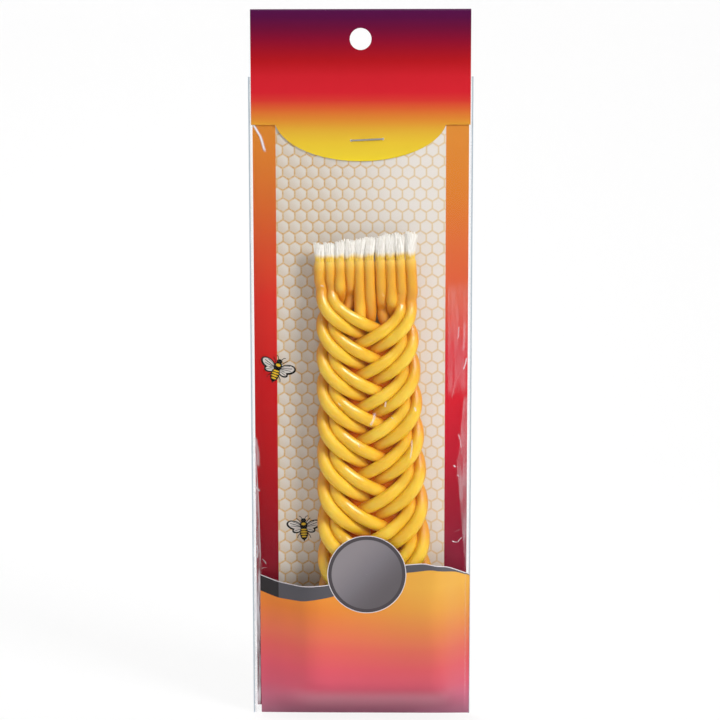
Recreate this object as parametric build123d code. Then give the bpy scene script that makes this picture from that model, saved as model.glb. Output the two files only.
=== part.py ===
from build123d import *

import os
from bisect import bisect
from math import ceil, cos, hypot, log, pi, radians, sin

# A braided ten-wick beeswax candle in a clear hanging bag, with an insert card behind it and a
# saddle header card stapled over the mouth of the bag.
# The origin is the centre of the hang hole, half way through the header. X is to the right as
# the pack is looked at, the front faces -Y, and Z is up. All lengths are in millimetres.

# Clear bag: a flat back film up to the fold, and a front film that bulges over the candle
bag_width = 85.0
bag_drop = 262.0
film_t = 0.15
side_weld = 1.2
bottom_weld = 2.6
mouth_drop = 14.0
corner_run = 3.0
layer_gap = 0.04

# Header card
header_side_gap = 1.0
header_card_t = 0.35
fold_above_hole = 11.1
shoulder_drop = 32.0
tongue_drop = 45.7
tongue_inset = 8.7
tongue_centre_rise = 3.0
hang_hole_d = 8.2

# Insert card
insert_side_gap = 1.5
insert_t = 0.5
insert_end_gap = 0.5

# Staple
staple_crown = 12.6
staple_leg = 5.8
wire_t = 0.4
wire_w = 0.55
wire_bend = 0.25
staple_x = 2.4
staple_drop = 37.6
staple_turn = 2.7
leg_hole_gap = 0.1

# Candle: ten tapers in five pairs
taper_d = 3.7
taper_gap = 0.1
wax_length = 164.0
swell_share = 0.245
wax_top_drop = 81.8
plait_start = 13.6
candle_x = 1.6
candle_lean = 1.75
candle_gap = 0.35
candle_travel = 10.0
taper_tip_share = 0.72
taper_tip_length = 1.6
foot_share = 0.93
press_gap = 0.12
full_width_share = 1.3
press_sharpness = 7
taper_sides = 10
rings_per_round = 18

# Wicks: a round root in the wax and a flat frayed tuft above it
wick_d = 1.5
wick_root = 8.0
wick_gap = 0.03
tuft_width = 3.1
tuft_t = 1.3
tuft_neck = 0.5
tuft_left = 5.5
tuft_right = 8.9
wick_sides = 6

# The plait. Every pair follows one path from edge to edge and back. Its swing, depth and stride
# are given in taper spacings, as the first terms of a cosine or sine series.
pairs = 5
lay_share = 2.88
lay_growth_share = 0.42
swing_share = 3.83
swing_third_share = -0.02
stride_share = 0.02
pair_spread_share = 0.15
depth_shares = (0.79, -0.12, 0.09)
pair_depth_shares = (0.09, -0.24, 0.1)

# One line for each pair, left to right in the straight row: its distance from the middle in
# taper spacings, the side where it turns first, how many lays it waits before that turn, and
# the part of a round over which it leaves the row
row_shares = (
    (4.0, -1, 0.0, (-0.14, 0.06)),
    (2.0, -1, 1.0, (-0.36, -0.14)),
    (0.0, -1, 2.0, (-0.40, -0.20)),
    (2.0, 1, 1.5, (-0.36, -0.14)),
    (4.0, 1, 0.5, (-0.14, 0.06)),
)
row_rounding_share = 1.3
row_join_share = 0.1

# Sizes that follow
header_width = bag_width - header_side_gap * 2
insert_width = bag_width - insert_side_gap * 2
tongue_half_width = header_width / 2 - tongue_inset
pitch = taper_d + taper_gap
card_front = insert_t / 2
film_seat = card_front + layer_gap
film_face = film_seat + film_t
header_seat = film_face + layer_gap
header_face = header_seat + header_card_t
fold_centre = fold_above_hole - header_face
wax_top = -wax_top_drop
bag_bottom = -bag_drop
weld_top = bag_bottom + bottom_weld


def smooth(value):
    """Rise from 0 to 1 without a kink as the value goes from 0 to 1."""
    value = min(1, max(0, value))
    return value * value * (3 - 2 * value)


def soft_least(one, other, rounding):
    """The smaller of two values, rounded off where they meet."""
    return (one + other - hypot(one - other, rounding)) / 2


def swell(fall):
    """How much thicker a taper is at a distance below the top of the wax."""
    return 1 + swell_share * fall / wax_length


def lay(fall):
    """Distance from one pair's turn to the next pair's at the same edge."""
    return lay_share * pitch * (1 + lay_growth_share * fall / wax_length)


def rounds(fall):
    """Full rounds of the plait done at a distance below the top of the wax."""
    start = lay(plait_start) / lay(0)
    gain = lay_growth_share / wax_length
    return log(lay(fall) / lay(0) / start) / gain / (pairs * lay_share * pitch)


def weave_depth(angle, side):
    """Depth of a taper in the plait, towards the front, in taper spacings."""
    pair = sum(share * sin(2 * (i + 1) * angle) for i, share in enumerate(depth_shares))
    split = sum(share * sin((2 * i + 1) * angle) for i, share in enumerate(pair_depth_shares))
    return pair + side * split


def pair_line(row, wait, fall):
    """Middle of a pair: across from its first edge's side, and down, both in millimetres."""
    angle = 2 * pi * (rounds(fall) - wait / pairs)
    turn = max(angle, -pi)
    steady = -swing_share * (cos(turn) + swing_third_share * cos(3 * turn)) / (1 + swing_third_share)
    join = smooth(-angle / (2 * pi * row_join_share))
    rounding = row_rounding_share * max(0, 1 - row / swing_share)
    across = steady + join * (soft_least(-row, steady, rounding) - steady)
    stride = lay(fall) * pairs * stride_share * sin(2 * max(angle, -pi / 2)) / (2 * pi)
    return across * pitch * swell(fall), fall + stride


def taper_point(place, side, fall):
    """A point on a taper's centre line, in the candle's own upright frame."""
    row, hand, wait, (leave, settled) = place
    probe = pitch / 100
    x, down = pair_line(row, wait, fall)
    x_next, down_next = pair_line(row, wait, fall + probe)
    run = hypot(x_next - x, down_next - down)
    turned = rounds(fall) - wait / pairs
    spread = 1 + pair_spread_share * sin(2 * pi * max(turned, 0)) ** 2
    half = side * pitch * swell(fall) * spread / 2
    across = x + half * (down_next - down) / run
    down = down - half * (x_next - x) / run
    depth = smooth((turned - leave) / (settled - leave)) * weave_depth(2 * pi * max(turned, -1 / 4), side)
    y = -card_front - candle_gap - swell(fall) * (plait_half_depth + pitch * depth)
    return Vector(-hand * across, y, -down)


def taper_direction(place, side, fall):
    probe = pitch / 100
    return (taper_point(place, side, fall + probe) - taper_point(place, side, fall - probe)).normalized()


taper_half = taper_d * full_width_share / 2
plait_half_depth = taper_half + pitch * max(weave_depth(2 * pi * i / 360, 1) for i in range(360))
plait_half_width = taper_half + pitch * (swing_share + 1 / 2)


def polygon(middle, across, deep, sides):
    """A closed polygon on an ellipse, given by its two half axes as vectors."""
    turns = [2 * pi * (i + 1 / 2) / sides for i in range(sides)]
    return Wire.make_polygon([middle + across * cos(a) + deep * sin(a) for a in turns], close=True)


def section_axes(place, side, fall):
    direction = taper_direction(place, side, fall)
    across = Vector(0, 1, 0).cross(direction).normalized()
    return direction, across, direction.cross(across)


def foot_fall(place, side):
    """Where along the plait a taper reaches the flush foot of the candle."""
    low, high = wax_length / 2, wax_length * (1 + 1 / 4)
    for _ in range(40):
        middle = (low + high) / 2
        if -taper_point(place, side, middle).Z < wax_length:
            low = middle
        else:
            high = middle
    return low


def ring_falls(place, side):
    """Where the rings of a taper are: its tip, the end of its straight run, and on to the foot."""
    wait, leave = place[2], place[3][0]
    end = foot_fall(place, side)
    falls = [0, taper_tip_length]
    step = pairs * lay(plait_start) / rings_per_round
    start = plait_start + (wait + pairs * max(leave, -1 / 4)) * lay(plait_start) - step
    if start > falls[-1] + taper_tip_length:
        falls.append(start)
    while falls[-1] < end - step * 3 / 2:
        growth = lay(falls[-1]) / lay(plait_start)
        falls.append(falls[-1] + step * growth)
    return falls + [end]


def make_spine(place, side):
    """A taper's middle as its rings make it: for each span between two rings, the points along it."""
    rings = [taper_point(place, side, fall) for fall in ring_falls(place, side)]
    spans = []
    for one, other in zip(rings, rings[1:]):
        cuts = ceil((other - one).length / (taper_d / 4))
        spans.append([one + (other - one) * (i / cuts) for i in range(cuts + 1)])
    return spans


spines = {(place, side): make_spine(place, side) for place in row_shares for side in (-1, 1)}
lines = {own: [point for span in spans for point in span] for own, spans in spines.items()}
depths_down = {own: [-point.Z for point in points] for own, points in lines.items()}


def neighbours(own, middle, reach):
    """For each other taper that comes near a point, its close points as steps from there."""
    near = []
    for other, points in lines.items():
        if other != own:
            first = bisect(depths_down[other], -middle.Z - reach)
            last = bisect(depths_down[other], -middle.Z + reach)
            gaps = [point - middle for point in points[first:last]]
            gaps = [gap for gap in gaps if gap.length < reach]
            if gaps:
                near.append(gaps)
    return near


def pressed_radii(place, side, fall, index):
    """Radius in each direction of a ring: soft wax swells until it meets its neighbours.

    A neighbour stops it half way to that neighbour's own middle. The least room over the halves
    of the spans on both sides of the ring is taken."""
    free = taper_d * full_width_share * swell(fall) / 2
    _, across, deep = section_axes(place, side, fall)
    spans = spines[(place, side)]
    before = spans[index - 1]
    own = before[len(before) // 2:]
    if index < len(spans):
        own = own + spans[index][1:len(spans[index]) // 2 + 1]
    radii = [free] * taper_sides
    for middle in own:
        near = neighbours((place, side), middle, pitch * swell(fall) * 3 / 2)
        for i in range(taper_sides):
            angle = 2 * pi * (i + 1 / 2) / taper_sides
            outward = across * cos(angle) + deep * sin(angle)
            crowd = free ** -press_sharpness
            for gaps in near:
                rooms = [gap.dot(gap) / 2 / gap.dot(outward) for gap in gaps if gap.dot(outward) > 0]
                if rooms:
                    crowd += (min(rooms) - press_gap / 2) ** -press_sharpness
            radii[i] = min(radii[i], crowd ** (-1 / press_sharpness))
    return radii


def taper_section(place, side, fall, radii, flush):
    """A many-sided ring, square to the taper, or slid along it into the flush foot."""
    direction, across, deep = section_axes(place, side, fall)
    if flush:
        across = across - direction * (across.Z / direction.Z)
        deep = deep - direction * (deep.Z / direction.Z)
    middle = taper_point(place, side, fall)
    turns = [2 * pi * (i + 1 / 2) / taper_sides for i in range(taper_sides)]
    return Wire.make_polygon([middle + (across * cos(turn) + deep * sin(turn)) * radius
                              for turn, radius in zip(turns, radii)], close=True)


def make_taper(place, side):
    """One taper, as a ruled skin over many-sided rings."""
    falls = ring_falls(place, side)
    rings = [taper_section(place, side, 0, [taper_d * taper_tip_share / 2] * taper_sides, flush=False)]
    for index in range(1, len(falls)):
        radii = pressed_radii(place, side, falls[index], index)
        flush = index == len(falls) - 1
        if flush:
            radii = [radius * foot_share for radius in radii]
        rings.append(taper_section(place, side, falls[index], radii, flush))
    return Solid.make_loft(rings, ruled=True)


def upright(place, side, levels, sides):
    """An upright ruled form over a taper's top, from (height, half width, half depth) levels."""
    middle = taper_point(place, side, 0)
    wires = [polygon(middle + Vector(0, 0, height), Vector(wide, 0, 0), Vector(0, deep, 0), sides)
             for height, wide, deep in levels]
    return Solid.make_loft(wires, ruled=True)


def make_wick(place, side, free):
    root = wick_d / 2
    wide, deep = tuft_width / 2, tuft_t / 2
    levels = [(-wick_root, root, root), (0, root, root), (tuft_neck, wide * 4 / 5, deep * 4 / 5), (free, wide, deep)]
    return upright(place, side, levels, wick_sides)


def make_socket(place, side):
    radius = wick_d / 2 + wick_gap
    return upright(place, side, [(-wick_root - wick_gap, radius, radius), (taper_d, radius, radius)], wick_sides)


def film_section(z, depth, half_width, middle):
    """The front film cut across: a thin hat over the candle, with a weld down each side."""
    rim_in = bag_width / 2 - side_weld

    def hat(rim, seat, crown, half):
        points = []
        for hand in (-1, 1):
            edge = Vector(middle + hand * half, -crown, z)
            outer = Vector(hand * rim, -seat, z)
            down = edge + (outer - edge).normalized() * min(corner_run, (outer - edge).length / 2)
            along = edge - Vector(hand * min(corner_run, half / 2), 0, 0)
            turn = (down + edge * 2 + along) * (1 / 4)
            points.append([Vector(hand * rim, film_seat, z), outer, down, turn, along])
        return points[0] + points[1][::-1]

    inner = hat(rim_in, film_seat, film_seat + depth, half_width)
    outer = hat(bag_width / 2, film_face, film_face + depth, half_width + film_t)
    return Wire.make_polygon(inner + outer[::-1], close=True)


def candle_middle(fall):
    """Where the leaning candle's middle is, across the pack."""
    return candle_x + fall * sin(radians(candle_lean))


def chamber_depth(fall, half_depth):
    """Room under the front film for the candle pushed up by its whole travel."""
    reach = swell(fall + candle_travel) * (plait_half_depth + half_depth)
    return reach + candle_gap * 2 + card_front - film_seat


def chamber_half_width(fall):
    return plait_half_width * swell(fall + candle_travel) + candle_gap * 2


def make_bag_front():
    """Front film with its side welds and the weld across the bottom."""
    flat = -tongue_drop - candle_gap
    tips = wax_top + max(tuft_left, tuft_right) + candle_travel + candle_gap * 2
    shoulder = wax_top + candle_travel + candle_gap * 2
    full = wax_top - plait_start + candle_travel + pitch
    foot_room = plait_half_width * swell(wax_length) * sin(radians(candle_lean)) + candle_gap
    foot = wax_top - wax_length * cos(radians(candle_lean)) - foot_room
    levels = [
        (-mouth_drop, 0, 0),
        (flat, 0, 0),
        (tips, chamber_depth(0, tuft_t / 2), 0),
        (shoulder, chamber_depth(0, taper_d / 2 + candle_gap), 0),
        (full, chamber_depth(plait_start, plait_half_depth), plait_start),
        (foot, chamber_depth(wax_length, plait_half_depth), wax_length),
        (weld_top, 0, wax_length),
    ]
    wires = [film_section(z, depth, chamber_half_width(fall), candle_middle(fall)) for z, depth, fall in levels]
    film = Solid.make_loft(wires, ruled=True)
    weld = Box(bag_width, film_face + film_seat, bottom_weld, align=(Align.CENTER, Align.MIN, Align.MIN))
    film = film + weld.moved(Location((0, -film_face, bag_bottom)))
    return film - staple_legs(leg_hole_gap)


def sheet(width, top, bottom, near, far):
    """A flat upright sheet between two heights and two depths."""
    box = Box(width, far - near, top - bottom, align=(Align.CENTER, Align.MIN, Align.MIN))
    return box.moved(Location((0, near, bottom)))


def make_bag_back():
    film = sheet(bag_width, fold_centre, bag_bottom, film_seat, film_face)
    return film - hang_hole() - staple_legs(leg_hole_gap)


def make_insert():
    card = sheet(insert_width, -mouth_drop, weld_top + insert_end_gap, -card_front, card_front)
    return card - staple_legs(leg_hole_gap)


def hang_hole():
    through = Cylinder(hang_hole_d / 2, header_face * 4)
    return through.rotate(Axis.X, 90)


def make_header():
    """One card folded over the bag: two walls with the same outline, and the round fold."""
    reach = tongue_drop + fold_centre
    ring = Circle(header_face) - Circle(header_seat)
    ring = ring & Pos(0, header_face) * Rectangle(header_face * 2, header_face * 2)
    legs = Rectangle(header_card_t, reach, align=(Align.MIN, Align.MAX))
    profile = ring + Pos(header_seat, 0) * legs + Pos(-header_face, 0) * legs
    fold = extrude(Plane.YZ * profile, amount=header_width / 2, both=True).moved(Location((0, 0, fold_centre)))
    body = Pos(0, (fold_above_hole - shoulder_drop) / 2) * Rectangle(header_width, fold_above_hole + shoulder_drop)
    tongue_deep = tongue_drop - shoulder_drop + tongue_centre_rise
    tongue = Pos(0, tongue_centre_rise - shoulder_drop) * Ellipse(tongue_half_width, tongue_deep)
    outline = extrude(Plane.XZ * (body + tongue), amount=header_face * 2, both=True)
    return (fold & outline) - hang_hole() - staple_legs(leg_hole_gap)


def staple_place():
    return Location((staple_x, 0, -staple_drop), (0, -staple_turn, 0))


def staple_legs(gap):
    """The two legs on their way through, grown by a gap to cut their holes."""
    leg = Box(wire_t + gap * 2, header_face * 4, wire_w + gap * 2)
    reach = (staple_crown - wire_t) / 2
    legs = [leg.moved(Location((hand * reach, 0, 0))).moved(staple_place()) for hand in (-1, 1)]
    return legs


def make_staple():
    """Flat wire bent to a crown in front, two legs and the clinched ends at the back."""
    inside = header_face + layer_gap
    deep = (inside + wire_t) * 2
    clinch = staple_leg - deep
    loop = RectangleRounded(staple_crown, deep, wire_bend + wire_t)
    loop = loop - RectangleRounded(staple_crown - wire_t * 2, inside * 2, wire_bend)
    opening = staple_crown - (clinch + wire_t) * 2
    loop = loop - Pos(0, inside) * Rectangle(opening, wire_t * 4)
    return extrude(loop, amount=wire_w / 2, both=True).moved(staple_place())


os.makedirs("parts", exist_ok=True)

nodes = {
    "header_card": make_header(),
    "insert_card": make_insert(),
    "bag_front": make_bag_front(),
    "bag_back": make_bag_back(),
    "staple": make_staple(),
}

candle_place = Location((candle_x, 0, wax_top), (0, -candle_lean, 0))
number = 0
for place in row_shares:
    outer_first = -place[1]
    for side in (-outer_first, outer_first):
        number += 1
        free = tuft_left + (tuft_right - tuft_left) * (number - 1) / (pairs * 2 - 1)
        taper = make_taper(place, side) - make_socket(place, side)
        nodes[f"taper_{number}"] = taper.moved(candle_place)
        nodes[f"wick_{number}"] = make_wick(place, side, free).moved(candle_place)

for name, solid in nodes.items():
    export_step(solid, f"parts/{name}.step")
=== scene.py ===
import math

import bpy
import numpy as np
from mathutils import Matrix, Vector


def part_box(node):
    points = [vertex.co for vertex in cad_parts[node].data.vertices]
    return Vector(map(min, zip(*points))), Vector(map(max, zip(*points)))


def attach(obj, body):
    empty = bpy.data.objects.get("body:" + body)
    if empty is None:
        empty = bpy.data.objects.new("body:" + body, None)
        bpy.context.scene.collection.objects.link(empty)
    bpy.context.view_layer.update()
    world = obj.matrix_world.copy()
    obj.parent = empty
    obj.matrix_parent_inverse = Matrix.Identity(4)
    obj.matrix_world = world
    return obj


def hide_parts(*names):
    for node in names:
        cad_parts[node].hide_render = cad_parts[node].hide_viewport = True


# The looks of a braided beeswax candle in its clear hanging pack.
# The origin is the centre of the hang hole, X is to the right, the front faces -Y, and Z is up.
# Places and sizes are in millimetres, and MM turns them into metres.

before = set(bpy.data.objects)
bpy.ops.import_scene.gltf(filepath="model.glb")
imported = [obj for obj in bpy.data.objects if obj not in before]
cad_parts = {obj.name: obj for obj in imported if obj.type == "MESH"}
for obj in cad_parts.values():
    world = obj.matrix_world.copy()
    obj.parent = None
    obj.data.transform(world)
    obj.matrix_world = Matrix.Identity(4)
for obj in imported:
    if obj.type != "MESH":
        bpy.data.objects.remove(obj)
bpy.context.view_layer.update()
MM = 0.001
rng = np.random.default_rng(7)


def reach(node):
    """The lowest and the highest corner of one of the solids."""
    return [np.array(corner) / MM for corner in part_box(node)]


# Places that the solids give
(_, _, TONGUE_FOOT), (_, _, FOLD_TOP) = reach("header_card")
(_, CARD_FRONT, _), _ = reach("insert_card")
(BAG_LEFT, _, BAG_FOOT), (BAG_RIGHT, _, BAG_MOUTH) = reach("bag_front")

# The pack's layers and welds
FILM_T = 0.15
LAYER_GAP = 0.04
CANDLE_GAP = 0.35
SIDE_WELD = 1.2
BOTTOM_WELD = 2.6
FILM_FACE = CARD_FRONT - LAYER_GAP - FILM_T
CANDLE_BACK = CARD_FRONT - CANDLE_GAP

# The insert's print: a honeycomb panel between two borders
PANEL_HALF = 32.3
CELL_WIDTH = 4.55
CELL_SQUEEZE = 0.949
BORDER_TOP, BORDER_FOOT = -14.0, -260.0

# The print on the film's lower part
LABEL_LEFT, LABEL_RIGHT = -39.4, 42.3
LABEL_TOP, LABEL_FOOT = -208.0, -261.9
BADGE = (2.3, -202.5)
BADGE_HALO, BADGE_RIM, BADGE_FACE = 15.1, 14.8, 13.5


# Nodes and colours

SMOOTH = {"interpolation_type": "SMOOTHSTEP"}
COLOURS = {"data_type": "RGBA"}


def linear(code):
    """A hex sRGB colour as linear values."""
    parts = [int(code[i:i + 2], 16) / 255 for i in (0, 2, 4)]
    return tuple(c / 12.92 if c <= 0.04045 else ((c + 0.055) / 1.055) ** 2.4 for c in parts) + (1.0,)


def per_metre(size):
    """How many features a metre holds, from the size of one."""
    return 1 / (size * MM)


def add(tree, kind, inputs=(), operation=None, give=0, stops=(), **settings):
    """One node. Its inputs are values or other nodes' outputs, in order or by name, and stops are a
    ramp's places and hex colours. It gives an output, by number or name, or the whole node for None."""
    node = tree.nodes.new("ShaderNode" + kind)
    if operation:
        settings["operation"] = operation
    for name, value in settings.items():
        setattr(node, name, value)
    if not isinstance(inputs, dict):
        in_use = [i for i, socket in enumerate(node.inputs) if socket.enabled]
        inputs = dict(zip(in_use, inputs))
    for place, value in inputs.items():
        if isinstance(value, bpy.types.NodeSocket):
            tree.links.new(value, node.inputs[place])
        else:
            node.inputs[place].default_value = value
    if stops:
        elements = node.color_ramp.elements
        while len(elements) < len(stops):
            elements.new(0.5)
        for element, (place, code) in zip(elements, stops):
            element.position = place
            element.color = linear(code)
    if give is None:
        return node
    if isinstance(give, str):
        return node.outputs[give]
    return [socket for socket in node.outputs if socket.enabled][give]


def new_finish(name):
    """A material with no nodes yet, its node tree, and the object's own position in it."""
    material = bpy.data.materials.new(name)
    material.use_nodes = True
    tree = material.node_tree
    tree.nodes.clear()
    return material, tree, add(tree, "TexCoord", give="Object")


# Wax and cotton


def beeswax():
    """Beeswax, dipped by hand: it leaves soft dents and lengthwise streaks with a broad sheen, and light
    sinks in a little. Painted shade makes it a deeper orange where strands press on each other and deeper
    in the plait. It is paler at the strands' tops, and painted glints fleck it."""
    material, tree, where = new_finish("beeswax")
    strand = add(tree, "UVMap", uv_map="UVMap")
    plait = add(tree, "SeparateXYZ", [add(tree, "UVMap", uv_map="plait")], give=None)
    touching, depth, _ = plait.outputs
    cloud = add(tree, "TexNoise", [where, per_metre(8.333), 3.0])
    colour = add(tree, "ValToRGB", [cloud], stops=[(0.3, "efbd22"), (0.5, "f3c62c"), (0.7, "f7d03e")])
    # painted shade: a deeper orange for wax that lies deeper in the plait
    deep = add(tree, "MapRange", [depth, 0.15, 0.9], **SMOOTH)
    colour = add(tree, "Mix", [deep, colour, linear("e39c20")], **COLOURS)
    # painted shade: a deeper orange in the creases where strands press on each other
    crease_shade = add(tree, "MapRange", [touching, 0.15, 0.9], **SMOOTH)
    colour = add(tree, "Mix", [crease_shade, colour, linear("c9660a")], **COLOURS)
    fall = add(tree, "SeparateXYZ", [strand], give="Y")
    top = add(tree, "MapRange", [fall, 6 * MM, 0.0, 0.0, 0.6], **SMOOTH)
    colour = add(tree, "Mix", [top, colour, linear("fadf70")], **COLOURS)
    # painted glints: pale specks about 1 mm wide
    glint_specks = add(tree, "TexNoise", [where, per_metre(1.111), 2.0])
    painted_glints = add(tree, "MapRange", [glint_specks, 0.70, 0.76, 0.0, 0.3], **SMOOTH)
    colour = add(tree, "Mix", [painted_glints, colour, linear("fff4d0")], **COLOURS)
    # streaks, 40 round the strand and about 6 mm long
    lengthwise = add(tree, "VectorMath", [strand, (40.0, per_metre(6.25), 0.0)], "MULTIPLY")
    streaks = add(tree, "TexNoise", [lengthwise, 1.0, 3.0])
    normal = add(tree, "Bump", {"Height": streaks, "Distance": 0.1 * MM})
    dents = add(tree, "TexNoise", [where, per_metre(3.846), 3.0])
    normal = add(tree, "Bump", {"Height": dents, "Distance": 0.3 * MM, "Normal": normal})
    handled = add(tree, "TexNoise", [where, per_metre(2.5), 3.0])
    wax = add(tree, "BsdfPrincipled", {
        "Base Color": colour,
        "Roughness": add(tree, "MapRange", [handled, 0.2, 0.8, 0.30, 0.46], **SMOOTH),
        "IOR": 1.44,
        "Normal": normal,
        "Specular IOR Level": add(tree, "MapRange", [crease_shade, 0.0, 1.0, 0.5, 0.05]),
        "Coat Weight": add(tree, "MapRange", [crease_shade, 0.0, 1.0, 0.35, 0.01]),
        "Coat Roughness": 0.28,
        "Subsurface Weight": 0.4,
        "Subsurface Scale": 1 * MM,
        "Subsurface Radius": (1.0, 0.55, 0.12),
    })
    add(tree, "OutputMaterial", [wax], give=None)
    return material


def cotton():
    """Bleached cotton yarn, cut and frayed: dull white threads with a soft sheen, yellow where wax has
    crept up from their roots. Single fibres are too fine to show, so they are drawn 0.4 mm wide."""
    material, tree, where = new_finish("cotton")
    lengthwise = add(tree, "VectorMath", [where, (1.0, 1.0, 0.15)], "MULTIPLY")
    fibres = add(tree, "TexNoise", [lengthwise, per_metre(0.4), 2.0])
    colour = add(tree, "ValToRGB", [fibres], stops=[(0.3, "f3eee4"), (0.6, "fffcf6")])
    # wax creeps up unevenly, in runs about 2 mm wide
    runs = add(tree, "VectorMath", [where, (1.0, 1.0, 0.3)], "MULTIPLY")
    runs = add(tree, "TexNoise", [runs, per_metre(2.0), 2.0])
    rise = add(tree, "SeparateXYZ", [add(tree, "UVMap", uv_map="UVMap")], give="Y")
    rise = add(tree, "Math", [runs, 3 * MM, rise], "MULTIPLY_ADD")
    soaked = add(tree, "MapRange", [rise, 3.6 * MM, 1.2 * MM], **SMOOTH)
    threads = add(tree, "BsdfPrincipled", {
        "Base Color": add(tree, "Mix", [soaked, colour, linear("fbd23e")], **COLOURS),
        "Roughness": 0.9,
        "Normal": add(tree, "Bump", {"Height": fibres, "Distance": 0.2 * MM}),
        "Sheen Weight": 0.4,
        "Sheen Roughness": 0.4,
    })
    add(tree, "OutputMaterial", [threads], give=None)
    return material


# Printed cards


def paper_grain(tree, where):
    """The faint unevenness of coated card, with grains of 0.3 mm."""
    grain = add(tree, "TexNoise", [where, per_metre(0.2857), 3.0])
    return add(tree, "Bump", {"Height": grain, "Distance": 0.03 * MM, "Strength": 0.5})


def cut_edges(tree, colour, cut=1.0):
    """The white core of the card, where cut is 1 and the surface faces neither forward nor back."""
    normal = add(tree, "VectorMath", [add(tree, "TexCoord", give="Normal")], "ABSOLUTE")
    facing = add(tree, "SeparateXYZ", [normal], give="Y")
    edge = add(tree, "Math", [facing, 0.5], "LESS_THAN")
    edge = add(tree, "Math", [edge, cut], "MULTIPLY")
    return add(tree, "Mix", [edge, colour, linear("eeeae2")], **COLOURS)


def coated_card(tree, where, colour):
    """Offset print on coated card under a thin varnish: an even, silky gloss without sharp reflections."""
    card = add(tree, "BsdfPrincipled", {
        "Base Color": colour,
        "Roughness": 0.5,
        "Specular IOR Level": 0.12,
        "Normal": paper_grain(tree, where),
    })
    add(tree, "OutputMaterial", [card], give=None)


def header_print():
    """Coated card, printed from dark purple at the fold to yellow on the tongue."""
    material, tree, where = new_finish("header_print")
    height = add(tree, "SeparateXYZ", [where], give="Z")
    down = add(tree, "MapRange", [height, FOLD_TOP * MM, TONGUE_FOOT * MM])
    colour = add(tree, "ValToRGB", [down], stops=[
        (0.0, "4a0040"), (0.06, "520039"), (0.13, "68002f"), (0.20, "820027"), (0.27, "9a061d"),
        (0.34, "ae0c16"), (0.44, "c91b27"), (0.544, "cf1d2a"), (0.60, "d2352c"), (0.646, "d6592c"),
        (0.715, "d9802e"), (0.817, "e0b034"), (0.88, "e6c033"), (0.952, "e8c834"), (1.0, "edd02c"),
    ])
    # the print's own dots are too fine to show, so they are drawn 0.17 mm wide
    dots = add(tree, "TexNoise", [where, per_metre(1 / 6), 1.0])
    dots = add(tree, "Math", [dots, 0.10], "MULTIPLY")
    colour = add(tree, "Mix", [dots, colour, linear("ffffff")], blend_type="SOFT_LIGHT", **COLOURS)
    below_fold = add(tree, "Math", [height, (FOLD_TOP - 1.3) * MM], "LESS_THAN")
    coated_card(tree, where, cut_edges(tree, colour, below_fold))
    return material


def honeycomb(tree, flat):
    """Hexagonal cells with two sides upright. It gives how far out a place lies in its cell, from 0 at the
    middle to 0.5 at the border, and its place in the cell, in cell widths."""
    row = math.sqrt(3) / 2
    high, low = (0.5, row, 0.5), (-0.5, -row, -0.5)
    cells = add(tree, "VectorMath", [flat, per_metre(CELL_WIDTH)], "SCALE")
    one = add(tree, "VectorMath", [cells, high, low], "WRAP")
    between_rows = add(tree, "VectorMath", [cells, (0.5, row, 0.0)], "ADD")
    two = add(tree, "VectorMath", [between_rows, high, low], "WRAP")
    to_one = add(tree, "VectorMath", [one], "LENGTH")
    to_two = add(tree, "VectorMath", [two], "LENGTH")
    nearer_two = add(tree, "Math", [to_two, to_one], "LESS_THAN")
    inside = add(tree, "Mix", [nearer_two, one, two], data_type="VECTOR")
    side = add(tree, "VectorMath", [inside], "ABSOLUTE")
    upright = add(tree, "VectorMath", [side, (1.0, 0.0, 0.0)], "DOT_PRODUCT")
    slanted = add(tree, "VectorMath", [side, (0.5, row, 0.0)], "DOT_PRODUCT")
    return add(tree, "Math", [upright, slanted], "MAXIMUM"), inside


def honeycomb_panel(tree, where, across, height):
    """Pale grey cells between soft honey-coloured lines, with painted light that makes cells and lines
    paler towards the right and darker towards the left.
    """
    # the printed cells are a little taller than regular ones
    squeezed = add(tree, "Math", [height, CELL_SQUEEZE], "MULTIPLY")
    rim, inside = honeycomb(tree, add(tree, "CombineXYZ", [across, squeezed]))
    to_upper_right = add(tree, "VectorMath", [inside, (0.75, 0.75, 0.0)], "DOT_PRODUCT")
    shaded = add(tree, "MapRange", [to_upper_right, -0.5, 0.4], **SMOOTH)
    cell = add(tree, "ValToRGB", [shaded], stops=[(0.0, "d3c6b5"), (0.5, "d8cdc0"), (1.0, "ddd6cd")])
    # painted light: cells paler towards the right, darker towards the left where shade falls
    lit_right_part = add(tree, "MapRange", [across, -20 * MM, 24 * MM], **SMOOTH)
    cell = add(tree, "Mix", [lit_right_part, cell, linear("e8e1da")], **COLOURS)
    wear = add(tree, "TexNoise", [where, per_metre(0.8333), 2.0])
    worn = add(tree, "MapRange", [wear, 0.3, 0.7], **SMOOTH)
    line = add(tree, "Mix", [worn, linear("cc9f5e"), linear("d8b988")], **COLOURS)
    # the lines take the same painted light, paler towards the right
    pale = add(tree, "Math", [lit_right_part, 0.8], "MULTIPLY")
    line = add(tree, "Mix", [pale, line, linear("e3cda6")], **COLOURS)
    # the lines are broader at the right of each cell
    to_right = add(tree, "VectorMath", [inside, (1.0, -0.3, 0.0)], "DOT_PRODUCT")
    rim = add(tree, "Math", [to_right, 0.06, rim], "MULTIPLY_ADD")
    outline = add(tree, "MapRange", [rim, 0.38, 0.5], **SMOOTH)
    return add(tree, "Mix", [outline, cell, line], **COLOURS)


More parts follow.
